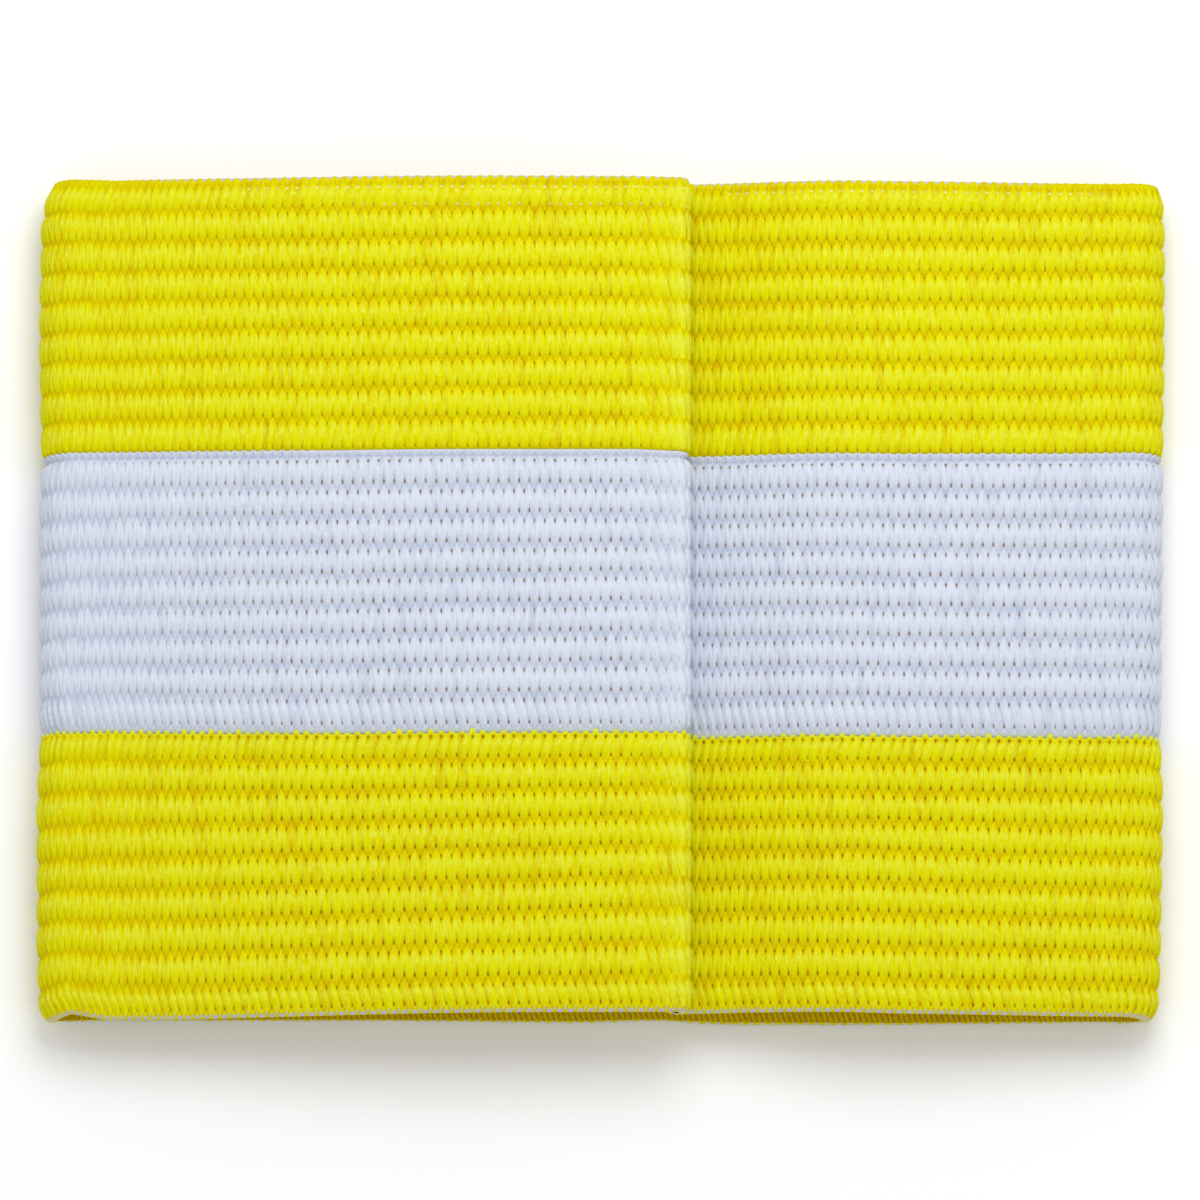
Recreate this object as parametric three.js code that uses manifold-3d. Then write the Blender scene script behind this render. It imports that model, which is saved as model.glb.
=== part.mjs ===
// A captain armband, lying flat: a loop of ribbed knitted elastic in three stripes.
// The tape's two ends are sewn right sides together. The seam allowance of both is turned in
// under the front left panel, which rolls over it and stands proud of the front right panel.
// Millimetres. X runs along the flat loop, Y across the tape, Z up from the surface it lies on.
import * as THREE from "three";
import { mergeVertices } from "three/addons/utils/BufferGeometryUtils.js";
import Module from "manifold-3d";

// The tape
const stripeWidth = 26.5;
const stripeGap = 0.3;
const ribsPerStripe = 9;
const clothThickness = 1.5;
const ribDepth = 0.4;
const grooveHalfWidth = 0.72;
const selvedgeThickness = 0.75;

// The flat loop, measured over its outside
const flatLength = 107.2;
const foldHeight = 6.6;
const leftCrown = 9.1;
const rightCrown = 7.9;
const frontShift = 0.5;
const foldSetback = 2;
const foldFade = 16;

// The seam: where its edge is along X, how deep the allowance is, and the room under it
const seamEdge = 8.7;
const seamAllowance = 6;
const seamClearance = 2.4;
const plyGap = 0.3;
const stitchLineWidth = 0.8;
const stitchLineInset = 1.2;

// The yarn
const yellowYarn = 0xe0dc12;
const whiteYarn = 0xd9deea;
const yarnRoughness = 0.85;

// Where the front panels are highest, as a share of each one's run from the seam to the fold,
// and how long the rises and falls stay level at their ends, as a share of their length.
const crownPlace = { left: 0.3, right: 0.42 };
const levelShare = 0.4;

// How far each side fold stands back from the overall length, by place across the tape.
// across: share of the whole width, from the lower edge. left, right: shares of foldSetback.
const foldOutline = [
  { across: 0, left: 0.45, right: 0.7 },
  { across: 0.02, left: 0.15, right: 0.35 },
  { across: 0.08, left: 0.05, right: 0.27 },
  { across: 0.25, left: 0, right: 0.15 },
  { across: 0.333, left: 0.28, right: 0.35 },
  { across: 0.42, left: 0.08, right: 0.22 },
  { across: 0.6, left: 0.12, right: 0.15 },
  { across: 0.667, left: 0.32, right: 0.25 },
  { across: 0.8, left: 0.08, right: 0 },
  { across: 0.95, left: 0.25, right: 0.05 },
  { across: 0.98, left: 0.5, right: 0.25 },
  { across: 1, left: 1, right: 0.6 },
];

// Steps along each stretch of the tape
const steps = { ply: 1, seamRoll: 6, panelHalf: 5, sideFold: 7, back: 3 };

const halfCloth = clothThickness / 2;
const bandWidth = 3 * stripeWidth + 2 * stripeGap;
const plyPitch = clothThickness + plyGap;
const seamRollRadius = plyPitch / 2;
const rollCentre = seamEdge - seamRollRadius - halfCloth;
const rawEnd = rollCentre - seamAllowance;
const foldRadius = foldHeight / 2 - halfCloth;
const foldCentre = flatLength / 2 - foldHeight / 2;

// Heights of the tape's middle line
const backHeight = halfCloth;
const foldTop = foldHeight - halfCloth;
const lowerPly = clothThickness + seamClearance + halfCloth;
const upperPly = lowerPly + plyPitch;
const seamTop = upperPly + plyPitch;
const leftTop = leftCrown - halfCloth;
const rightTop = rightCrown - halfCloth;

function level(fromX, toX, z) {
  return new THREE.LineCurve(new THREE.Vector2(fromX, z), new THREE.Vector2(toX, z));
}

// A half turn of the middle line, counterclockwise about (x, z).
function halfTurn(x, z, radius, fromAngle) {
  return new THREE.EllipseCurve(x, z, radius, radius, fromAngle, fromAngle + Math.PI, false, 0);
}

// A rise or fall of the middle line that is level at both ends.
function easedRun(fromX, fromZ, toX, toZ) {
  const handle = (toX - fromX) * levelShare;
  return new THREE.CubicBezierCurve(
    new THREE.Vector2(fromX, fromZ),
    new THREE.Vector2(fromX + handle, fromZ),
    new THREE.Vector2(toX - handle, toZ),
    new THREE.Vector2(toX, toZ),
  );
}

// The middle line of the tape in the XZ plane, from one raw end round the loop to the other.
function tapeRun() {
  const leftCrownX = THREE.MathUtils.lerp(rollCentre, -foldCentre, crownPlace.left);
  const rightCrownX = THREE.MathUtils.lerp(rollCentre, foldCentre, crownPlace.right);
  const foldMiddle = backHeight + foldRadius;
  const quarter = Math.PI / 2;
  return [
    { curve: level(rawEnd, rollCentre, upperPly), divisions: steps.ply },
    { curve: halfTurn(rollCentre, upperPly + seamRollRadius, seamRollRadius, -quarter),
      divisions: steps.seamRoll },
    { curve: easedRun(rollCentre, seamTop, leftCrownX, leftTop), divisions: steps.panelHalf },
    { curve: easedRun(leftCrownX, leftTop, -foldCentre, foldTop), divisions: steps.panelHalf },
    { curve: halfTurn(-foldCentre, foldMiddle, foldRadius, quarter), divisions: steps.sideFold },
    { curve: level(-foldCentre, foldCentre, backHeight), divisions: steps.back },
    { curve: halfTurn(foldCentre, foldMiddle, foldRadius, -quarter), divisions: steps.sideFold },
    { curve: easedRun(foldCentre, foldTop, rightCrownX, rightTop), divisions: steps.panelHalf },
    { curve: easedRun(rightCrownX, rightTop, rollCentre, lowerPly), divisions: steps.panelHalf },
    { curve: level(rollCentre, rawEnd, lowerPly), divisions: steps.ply },
  ];
}

// Stations along the tape: a point of the middle line, and the way out of the loop there.
function tapeStations() {
  const stations = [];
  for (const { curve, divisions } of tapeRun()) {
    for (let i = stations.length ? 1 : 0; i <= divisions; i++) {
      const point = curve.getPoint(i / divisions);
      const along = curve.getTangent(i / divisions);
      stations.push({ x: point.x, z: point.y, outX: along.y, outZ: -along.x });
    }
  }
  return stations;
}

// The setback of one side fold at a share of the way across the tape.
function setbackAt(share, side) {
  const next = Math.max(1, foldOutline.findIndex((row) => row.across >= share));
  const low = foldOutline[next - 1];
  const high = foldOutline[next];
  const between = (share - low.across) / (high.across - low.across);
  return foldSetback * THREE.MathUtils.lerp(low[side], high[side], between);
}

// Moves a point of a straight, upright loop to where it lies in this one: the folds are set
// back, and the front layer is pushed a little further across than the back one.
function laid(x, across, z) {
  const side = x < 0 ? "left" : "right";
  const nearFold = THREE.MathUtils.smoothstep(Math.abs(x), flatLength / 2 - foldFade, flatLength / 2);
  const share = THREE.MathUtils.clamp(across / bandWidth + 0.5, 0, 1);
  const inwards = -Math.sign(x) * nearFold * setbackAt(share, side);
  return [x + inwards, across + frontShift * (z / leftCrown - 0.5), z];
}

// The tape's section across one stripe, in (across, out), with out counted from the middle line.
// Its inner face is plain, and its outer face is a row of flat-topped ribs.
function stripeSection(lowEdge, selvedges) {
  const pitch = stripeWidth / ribsPerStripe;
  const crest = halfCloth;
  const groove = halfCloth - ribDepth;
  const selvedge = selvedgeThickness - halfCloth;
  const highEdge = lowEdge + stripeWidth;
  const section = [
    new THREE.Vector2(lowEdge, -halfCloth),
    new THREE.Vector2(highEdge, -halfCloth),
    new THREE.Vector2(highEdge, selvedges.high ? selvedge : groove),
  ];
  for (let rib = ribsPerStripe - 1; rib >= 0; rib--) {
    const start = lowEdge + rib * pitch;
    section.push(new THREE.Vector2(start + pitch - grooveHalfWidth, crest));
    section.push(new THREE.Vector2(start + grooveHalfWidth, crest));
    section.push(new THREE.Vector2(start, rib === 0 && selvedges.low ? selvedge : groove));
  }
  return section;
}

// A closed body: the section carried along the stations, and capped at both raw ends.
function carriedTape(section, stations) {
  const positions = [];
  for (const at of stations)
    for (const { x: across, y: out } of section)
      positions.push(...laid(at.x + at.outX * out, across, at.z + at.outZ * out));
  const count = section.length;
  const index = [];
  for (let start = 0; start < (stations.length - 1) * count; start += count)
    for (let k = 0; k < count; k++) {
      const a = start + k;
      const b = start + ((k + 1) % count);
      index.push(a, a + count, b, b, a + count, b + count);
    }
  const last = (stations.length - 1) * count;
  for (const [a, b, c] of THREE.ShapeUtils.triangulateShape(section, [])) {
    index.push(a, b, c);
    index.push(last + c, last + b, last + a);
  }
  const geometry = new THREE.BufferGeometry();
  geometry.setAttribute("position", new THREE.Float32BufferAttribute(positions, 3));
  geometry.setIndex(index);
  return geometry;
}

// The row of stitches that holds the two plies of the seam allowance together, as a thin wall.
function stitchLine(lowEdge) {
  const wall = new THREE.BoxGeometry(stitchLineWidth, stripeWidth - 2 * plyGap, plyPitch);
  const height = (lowerPly + upperPly) / 2;
  wall.translate(...laid(rollCentre - stitchLineInset, lowEdge + stripeWidth / 2, height));
  return wall;
}

const wasm = await Module();
wasm.setup();

function solidOf(geometry) {
  const bare = geometry.clone();
  bare.deleteAttribute("normal");
  bare.deleteAttribute("uv");
  const merged = mergeVertices(bare, 1e-4);
  return new wasm.Manifold(new wasm.Mesh({
    numProp: 3,
    vertProperties: merged.attributes.position.array,
    triVerts: new Uint32Array(merged.index.array),
  }));
}

function geometryOf(solid) {
  const { vertProperties, triVerts } = solid.getMesh();
  const geometry = new THREE.BufferGeometry();
  geometry.setAttribute("position", new THREE.BufferAttribute(vertProperties, 3));
  geometry.setIndex(new THREE.BufferAttribute(triVerts, 1));
  geometry.computeVertexNormals();
  return geometry;
}

const stations = tapeStations();

function stripe(name, order, colour) {
  const lowEdge = -bandWidth / 2 + order * (stripeWidth + stripeGap);
  const section = stripeSection(lowEdge, { low: order === 0, high: order === 2 });
  const sewn = solidOf(carriedTape(section, stations)).add(solidOf(stitchLine(lowEdge)));
  const yarn = new THREE.MeshStandardMaterial({ color: colour, roughness: yarnRoughness, metalness: 0 });
  const mesh = new THREE.Mesh(geometryOf(sewn), yarn);
  mesh.name = name;
  return mesh;
}

const armband = new THREE.Group();
armband.add(stripe("lower_stripe", 0, yellowYarn));
armband.add(stripe("centre_stripe", 1, whiteYarn));
armband.add(stripe("upper_stripe", 2, yellowYarn));

// The origin is under the middle of the whole band.
const reach = new THREE.Box3().setFromObject(armband);
const middle = reach.getCenter(new THREE.Vector3());
armband.position.set(-middle.x, -middle.y, -reach.min.z);

export default armband;
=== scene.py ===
"""A captain armband lying flat: a loop of ribbed knitted elastic in yellow, white and yellow."""

import math

import bpy
import numpy as np
from bpy.props import FloatProperty, FloatVectorProperty, IntProperty, PointerProperty
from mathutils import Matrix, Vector


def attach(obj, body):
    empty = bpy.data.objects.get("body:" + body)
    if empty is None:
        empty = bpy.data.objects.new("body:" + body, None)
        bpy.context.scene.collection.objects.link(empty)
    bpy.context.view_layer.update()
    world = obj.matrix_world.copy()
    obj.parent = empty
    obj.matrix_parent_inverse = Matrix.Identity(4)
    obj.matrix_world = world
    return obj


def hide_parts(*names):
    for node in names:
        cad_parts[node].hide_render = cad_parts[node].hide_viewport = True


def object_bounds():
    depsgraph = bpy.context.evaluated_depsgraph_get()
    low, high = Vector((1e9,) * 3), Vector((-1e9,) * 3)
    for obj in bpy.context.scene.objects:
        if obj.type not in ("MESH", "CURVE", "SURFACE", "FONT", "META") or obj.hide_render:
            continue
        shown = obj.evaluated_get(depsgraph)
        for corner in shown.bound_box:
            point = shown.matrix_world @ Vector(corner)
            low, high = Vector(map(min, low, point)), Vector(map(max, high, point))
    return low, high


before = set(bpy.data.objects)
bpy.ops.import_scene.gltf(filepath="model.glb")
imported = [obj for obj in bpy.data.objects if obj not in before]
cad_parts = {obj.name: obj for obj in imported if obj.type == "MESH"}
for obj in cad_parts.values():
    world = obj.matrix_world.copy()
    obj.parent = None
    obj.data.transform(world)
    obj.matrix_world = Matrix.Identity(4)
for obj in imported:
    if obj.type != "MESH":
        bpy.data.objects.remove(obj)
CAD_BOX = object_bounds()

bl_info = {
    "name": "Captain Armband",
    "version": (1, 0, 0),
    "blender": (4, 5, 0),
    "location": "View3D > Sidebar > Armband",
    "description": "Builds a knitted captain armband, stitch by stitch, with its floor and lights",
    "category": "Object",
}

MM = 0.001
FLAT_LENGTH = float(CAD_BOX[1][0] - CAD_BOX[0][0])
LOOP_HEIGHT = float(CAD_BOX[1][2] - CAD_BOX[0][2])


def length(name, description, default):
    return FloatProperty(
        name=name, description=description, default=default, subtype="DISTANCE", unit="LENGTH"
    )


def colour(name, description, default):
    return FloatVectorProperty(
        name=name, description=description, default=default, subtype="COLOR", size=3, min=0, max=1
    )


class TapeSizes(bpy.types.PropertyGroup):
    """The knitted tape, before it is laid as a loop."""

    stripe_width: length("Stripe width", "Width of one of the three stripes", 26.5 * MM)
    stripe_gap: length("Stripe gap", "Step from one stripe's edge to the next one's", 0.3 * MM)
    cloth_thickness: length("Cloth thickness", "From a rib's crest to the inner face", 1.5 * MM)
    rib_depth: length("Rib depth", "How far a groove lies under the ribs' crests", 0.3 * MM)
    leg_relief: length("Leg relief", "How far the yarn legs of a stitch stand up from each other", 0.15 * MM)
    arch_relief: length("Arch relief", "How far a stitch's rounded ends stand up in the groove", 0.14 * MM)
    hole_depth: length("Hole depth", "How deep the hole at the end of a stitch is", 0.2 * MM)
    inner_relief: length("Inner relief", "How far the inner face's loops stand up", 0.06 * MM)
    back_pitch: length("Back pitch", "Stitch length in the layer that lies underneath", 1.04 * MM)
    ply_stretch: FloatProperty(
        name="Ply stretch", default=1.047,
        description="Stitch length in the turned-in upper ply against the front's",
    )


class LoopSizes(bpy.types.PropertyGroup):
    """How the loop lies: its folds, its crowns and its seam."""

    flat_length: length("Flat length", "Length of the flat loop over both folds", FLAT_LENGTH)
    fold_height: length("Fold height", "Height of the loop at its side folds", 6.6 * MM)
    left_crown: length("Left crown", "Height of the front left panel", LOOP_HEIGHT)
    right_crown: length("Right crown", "Height of the front right panel", 7.9 * MM)
    front_shift: length("Front shift", "How far the front layer lies across from the back one", 0.28 * MM)
    fold_setback: length("Fold setback", "The most that a fold stands back from the full length", 2.0 * MM)
    fold_fade: length("Fold fade", "How far in from a fold that setback reaches", 16.0 * MM)
    seam_edge: length("Seam edge", "Where the seam's edge is, right of the middle", 8.7 * MM)
    allowance: length("Seam allowance", "Depth of the two plies turned in at the seam", 6.0 * MM)
    seam_clearance: length("Seam clearance", "Room under the turned-in plies", 2.4 * MM)
    ply_gap: length("Ply gap", "Gap between two plies of the seam", 0.3 * MM)
    roll_squash: FloatProperty(
        name="Roll squash", description="Width of the seam's roll against its height",
        default=0.65, min=0.2, max=1,
    )
    tuck: length("Tuck", "How far the turned-in plies lie in from the lower edge", 0.9 * MM)
    tuck_reach: length("Tuck reach", "How far along the plies they come to lie in", 3.0 * MM)


class YarnLooks(bpy.types.PropertyGroup):
    """Colours of the yarns in white light, the colours of their painted highlight and painted shade, and of
    the light that comes through the lit holes.
    """

    # Painted highlight on the tops of an outer stripe's stitches and on its pale filaments.
    yellow_bright: colour("Yellow, bright", "Where an outer stripe's stitch is highest", (0.713, 0.755, 0.06))
    yellow: colour("Yellow", "The outer stripes' yarn", (0.69, 0.672, 0.0))
    # Painted shade on the outer stripes' yarn: in the grooves, between the legs and on the inner face.
    yellow_deep: colour("Yellow, deep", "The same yarn down between the stitches", (0.57, 0.385, 0.0))
    # The outer stripes' holes: partly the brown that lies in them, partly painted shade.
    yellow_hole: colour("Yellow, hole", "What shows through the outer stripes' holes", (0.38, 0.17, 0.0))
    # Painted highlight on the tops of the centre stripe's stitches and on its pale filaments.
    white_bright: colour("White, bright", "Where the centre one's stitch is highest", (0.665, 0.718, 0.825))
    white: colour("White", "The centre stripe's yarn", (0.612, 0.652, 0.747))
    # Painted shade on the centre stripe's yarn: in the grooves, between the legs and on the inner face.
    white_deep: colour("White, deep", "The same yarn down between the stitches", (0.42, 0.47, 0.60))
    # The centre stripe's holes: partly the brown that lies in them, partly painted shade.
    white_hole: colour("White, hole", "What shows through the centre stripe's holes", (0.26, 0.18, 0.10))
    # A white thread with painted shade on it, which greys it.
    thread: colour("Edge thread", "The pale thread that binds the edges", (0.52, 0.51, 0.62))
    light_through: colour("Light through", "What shows through the upper edge's holes", (0.82, 0.75, 0.70))
    tone_spread: FloatProperty(
        name="Tone spread", description="How much one stitch differs from the next",
        default=0.13, min=0, max=1,
    )


class StudioLooks(bpy.types.PropertyGroup):
    """Floor, lights and camera."""

    floor: colour("Floor", "The pale floor", (0.93, 0.93, 0.93))
    sky_strength: FloatProperty(name="Sky strength", description="Even light from all round", default=0.78)
    key_power: FloatProperty(
        name="Key light", description="Soft light from behind and above",
        default=0.62, subtype="POWER", unit="POWER",
    )
    elevation: FloatProperty(
        name="Camera elevation", description="Angle of the camera above the floor",
        default=math.radians(80), subtype="ANGLE", unit="ROTATION",
    )
    distance: length("Camera distance", "From the camera to the band", 3.6)
    view_width: length("View width", "Width of what the square picture shows", 113.8 * MM)
    seed: IntProperty(name="Seed", description="Which small irregularities the knit has", default=27)


# The stripes from the upper edge down. The row places are shares of the stripe's width from its
# upper edge: where the first and the second row of upper holes lie, how far one rib is from the
# next, and where the first and the last row of lower holes lie. lean: the rib's number and which
# of its legs lies on top, 1 for the one that falls to the left and -1 for the other, or a part of
# that where both show. upper_edge and lower_edge name how its edges end, in EDGES. end_depths: how
# much more painted shade the first and the last row have, less than 0 taking some away. lit:
# whether light shows through the holes of its first rib.
STRIPES = {
    "upper": {
        "order": 0, "yarn": "yellow", "open": 0.65, "first_upper": 0.0395, "second_upper": 0.136,
        "pitch": 0.1097, "first_lower": 0.102, "last_lower": 0.986, "lean": {0: 0.5, 8: 0.3},
        "upper_edge": "upper_selvedge", "lower_edge": "plain", "end_depths": (0.35, 0), "lit": True,
    },
    "centre": {
        "order": 1, "yarn": "white", "open": 1.0, "first_upper": 0.031, "second_upper": 0.146,
        "pitch": 0.1078, "first_lower": 0.104, "last_lower": 0.976, "lean": {8: -1.0},
        "upper_edge": "corded", "lower_edge": "tucked", "end_depths": (0, 0), "lit": False,
    },
    "lower": {
        "order": 2, "yarn": "yellow", "open": 1.0, "first_upper": 0.021, "second_upper": 0.128,
        "pitch": 0.1122, "first_lower": 0.0885, "last_lower": 0.972, "lean": {0: 1.0, 8: -1.0},
        "upper_edge": "toothed", "lower_edge": "lower_selvedge", "end_depths": (0, -0.3), "lit": False,
    },
}

# How an edge ends, in rows from the last stitches to the inner face. beyond and height are in
# millimetres: how far the row lies beyond the stripe's edge, and how high over the tape's middle
# plane. A bump in each stitch, centred at the share phase of it and as wide as the share width,
# moves a row by wave beyond and by lift up. beads: how far a bead at each bump swells, both
# beyond and up. thread: how much of the pale thread shows in the gaps between the bumps, and dots:
# how much of it on top of them. depth is how much painted shade the row's colour has, below 0 a
# painted highlight, and spots how much more painted shade it has in one spot of each stitch.
# fades: whether the thread fades towards the side folds. What an edge doesn't name is 0.
EDGES = {
    "upper_selvedge": {
        "beyond": [-0.04, 0.05, 0.06, 0.0], "height": [0.42, 0.10, -0.25, -0.6], "phase": 0.8, "width": 0.34,
        "wave": [0.03, 0.05, 0.04, 0], "lift": [0.06, 0.05, 0, 0], "thread": [0.8, 1.6, 0.9, 0.2],
        "depth": [0.7, 0.5, 0.8, 1.0], "fades": True,
    },
    "plain": {
        "beyond": [-0.02, 0.02, 0.02, 0.0], "height": [0.38, 0.22, -0.1, -0.6], "phase": 0.0, "width": 0.3,
        "wave": [0.03, 0.04, 0, 0], "depth": [0.5, 0.1, 0.8, 1.0],
    },
    "corded": {
        "beyond": [-0.20, 0.06, 0.25, 0.26], "height": [0.14, 0.46, 0.42, -0.6], "phase": 0.0, "width": 0.45,
        "wave": [-0.06, 0, 0, 0], "lift": [-0.06, 0, 0, 0], "beads": [0, 0.12, 0.08, 0],
        "depth": [1.2, 0.0, 0.4, 1.0], "spots": [4.0, 1.5, 0.4, 0],
    },
    "tucked": {
        "beyond": [-0.1, 0.22, 0.51, 0.52], "height": [0.38, 0.30, 0.10, -0.6], "phase": 0.0, "width": 0.3,
        "lift": [0.10, -0.10, 0, 0], "depth": [0.6, 0.5, 0.8, 1.0],
    },
    "toothed": {
        "beyond": [-0.24, -0.24, -0.24, -0.26], "height": [0.50, 0.32, 0.14, -0.6],
        "phase": 0.5, "width": 0.42, "wave": [0.26, 0.33, 0.20, 0], "lift": [0.14, 0.16, 0.18, 0],
        "depth": [-0.8, -1.2, -0.8, 1.0],
    },
    "lower_selvedge": {
        "beyond": [-0.14, 0.0, 0.04, 0.0], "height": [0.40, 0.10, -0.25, -0.6], "phase": 0.5, "width": 0.52,
        "wave": [0.02, 0.06, 0.03, 0], "thread": [0.5, 1.7, 1.3, 0.8], "dots": [2.0, 0, 0, 0],
        "depth": [0.3, 0.3, 0.6, 1.0],
    },
}

# Length of a stitch along the front layer, in millimetres, by place: x from the middle, in
# millimetres, of the loop as it lies.
LEFT_PITCH = {
    "x": [-53, -50.4, -49, -45, -40, -32, -26, -18, -9, 5, 6.8, 7.4],
    "pitch": [0.58, 0.60, 0.74, 0.82, 0.85, 0.91, 0.975, 0.995, 0.976, 0.955, 0.90, 0.52],
}
RIGHT_PITCH = {
    "x": [9, 14, 19, 25, 33, 42, 48, 50.4, 53],
    "pitch": [0.84, 0.86, 0.92, 0.967, 1.005, 0.99, 0.957, 0.78, 0.7],
}

# How open the holes are, by place along the front: x in millimetres, and a share. The back's
# holes are all alike.
OPENNESS = {
    "x": [-50, -46, -38, -28, 2, 6.5, 8.4, 9.4, 40, 52],
    "open": [0, 0.25, 0.7, 1, 1, 0.45, 0.1, 1, 1, 0.7],
}
BACK_OPENNESS = 0.7

# Where the knit, its painted shade and the light through its holes change along the loop: the x,
# in millimetres, at which a smooth step starts and the one at which it ends. The last one holds on
# both sides of the middle.
SEAM_LEAN = (1, 6)
SEAM_FLAT = (5, 8)
SEAM_SHADE = (24, 10)
BEADS_END = (-30, -25)
LIGHT_STARTS = (-36, -33)
LIGHT_ENDS = (49, 47)
MORE_LIGHT = (-24, -21)
THREAD_FADES = (48, 40)

# How high over the floor, in millimetres, the cloth lies that is shaded beside the seam, and that
# light shows through.
SHADE_ABOVE = 3
LIGHT_ABOVE = 5

# How much less painted shade the colour has where the ribs are flat at the seam, which paints light
# on the seam's roll, how much more painted shade beside the seam, where the raised left panel
# shades the right one, and how much painted shade the inner face has, as it lies in shade.
FLAT_DEPTH = 0.35
SHADE_DEPTH = 0.25
INNER_DEPTH = 1.7

# The knit's irregularities: the share that a hole is open at least, how far a stitch strays across
# the tape, in millimetres, and how much one stitch's bump at an edge differs from the next.
LEAST_OPEN = 0.6
STRAY = 0.03
TALL_SPREAD = 0.35

# How far each side fold stands back, by share of the way down across the tape, in shares of the
# setback.
FOLD_OUTLINE = {
    "down": [0, 0.02, 0.05, 0.2, 0.333, 0.4, 0.58, 0.667, 0.75, 0.92, 0.98, 1],
    "left": [0.7, 0.4, 0.2, 0.1, 0.24, 0.12, 0.13, 0.2, 0.05, 0.07, 0.15, 0.4],
    "right": [0.1, -0.03, -0.08, -0.07, 0.03, 0.03, 0.11, 0.16, 0.05, 0.2, 0.28, 0.5],
}

# How far the front layer is moved across, towards the upper edge, from where straight tape would
# lie, by place: x from the middle, down as a share of the way down across the tape, and lift, a row
# for each down. All but down are in millimetres.
LEFT_LIFT = {
    "x": [-53, -50.7, -47, -40, -24, -8, 3.3, 8.7],
    "down": [0, 0.15, 0.333, 0.5, 0.667, 0.74, 0.82, 0.9, 1],
    "lift": [
        [0.25, 0.12, 0.00, 0.08, 0.00, -0.05, -0.08, -0.20],
        [0.15, 0.10, 0.10, 0.22, 0.05, -0.02, 0.00, -0.15],
        [0.20, 0.25, 0.28, 0.30, 0.16, 0.12, 0.15, -0.10],
        [0.00, 0.10, 0.21, 0.24, 0.13, 0.15, 0.32, 0.20],
        [0.50, 0.50, 0.55, 0.42, 0.05, 0.05, 0.08, 0.05],
        [0.50, 0.50, 0.57, 0.40, 0.20, 0.20, 0.40, 0.40],
        [0.00, 0.00, 0.00, 0.08, 0.18, 0.50, 0.80, 0.80],
        [0.00, 0.10, -0.08, -0.08, 0.12, 0.30, 0.70, 0.70],
        [-0.40, 0.10, -0.52, -0.50, -0.36, -0.20, -0.16, -0.16],
    ],
}
RIGHT_LIFT = {
    "x": [13.8, 28.5, 41, 49.5, 53],
    "down": [0, 0.15, 0.333, 0.5, 0.667, 0.74, 0.82, 0.9, 1],
    "lift": [
        [-0.10, -0.32, -0.30, -0.30, -0.15],
        [0.15, -0.28, -0.10, 0.16, 0.20],
        [0.10, -0.12, 0.08, 0.25, 0.30],
        [0.45, -0.05, 0.12, 0.12, 0.10],
        [0.20, -0.10, 0.00, 0.00, 0.10],
        [0.60, 0.17, 0.20, 0.12, 0.10],
        [0.85, 0.45, 0.22, 0.12, 0.10],
        [0.85, 0.30, 0.22, 0.08, -0.10],
        [0.35, -0.10, -0.12, -0.14, -0.20],
    ],
}

# How far the lower edge of the back layer is moved the same way, by place, all in millimetres.
BACK_LIFT = {
    "x": [-53, -48, -28, -20, -10, -2, 3, 6, 9, 12, 28, 40, 48, 53],
    "lift": [0.25, 0.42, 0.42, 0.42, 0.3, 0.2, 0.4, 0.42, 0.2, 0.0, 0.0, 0.15, 0.25, 0.1],
}

# Rows of the grid inside one rib, as shares of the rib's pitch from groove to groove.
RIBS = 9
UPPER_HOLE = 0.17
LOWER_HOLE = 0.83
LAST_HOLE = RIBS - 1 + LOWER_HOLE
RIB_ROWS = [0, 0.09, UPPER_HOLE, 0.38, 0.62, LOWER_HOLE, 0.91]
INNER_ROWS = 5

# Columns of the grid in one stitch: where the outer face looks up, and elsewhere. Up is where the
# upward part of its normal is more than FINE_FACING, and its holes follow OPENNESS where that part
# is more than OPEN_FACING.
FINE_COLUMNS = 6
COARSE_COLUMNS = 4
FINE_FACING = -0.3
OPEN_FACING = -0.5

# Where the front panels are highest, as a share of each one's run from the seam to the fold, and
# how long the rises and falls stay level at their ends, as a share of their run.
CROWN_PLACE = {"left": 0.3, "right": 0.42}
LEVEL_SHARE = 0.4

# How far a yarn leg lies from the stitch's end, as a share of the stitch, at the upper and at the
# lower holes.
LEG_PLACE = (0.13, 0.37)

# The stage, in metres: from the floor's middle to its edges, where the key light stands and how
# wide it is, and how high over the floor the camera looks. The sensor's width is in millimetres.
FLOOR_REACH = 1.5
KEY_PLACE = (0.04, 0.17, 0.30)
KEY_SIZE = 0.26
TARGET_HEIGHT = 4.4 * MM
SENSOR_WIDTH = 36

# What each point of a stripe's grid has: the stitch that it lies at, its place down across the
# tape, its height over the middle plane, the count of ribs down to it, how much painted shade its
# colour has (below 0, painted highlight), the tone of its yarn leg, how open its hole is, how pale
# it is, and which leg lies on top.
VALUES = ("stitch", "down", "height", "across", "depth", "tone", "open", "pale", "lean")


def step(value, start, end):
    """A smooth step: 0 as far as start, 1 from end on and 3t^2 - 2t^3 between, t being the share of
    the way. start may be the greater one."""
    t = np.clip((value - start) / (end - start), 0, 1)
    return t * t * (3 - 2 * t)


def half_turn(x, z, radius, start, points, squash=1.0):
    """Points of half an ellipse about (x, z): (x + s r cos a, z + r sin a), a from start to
    start + pi, s being the squash."""
    a = start + np.linspace(0, math.pi, points)
    return x + squash * radius * np.cos(a), z + radius * np.sin(a)


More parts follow.
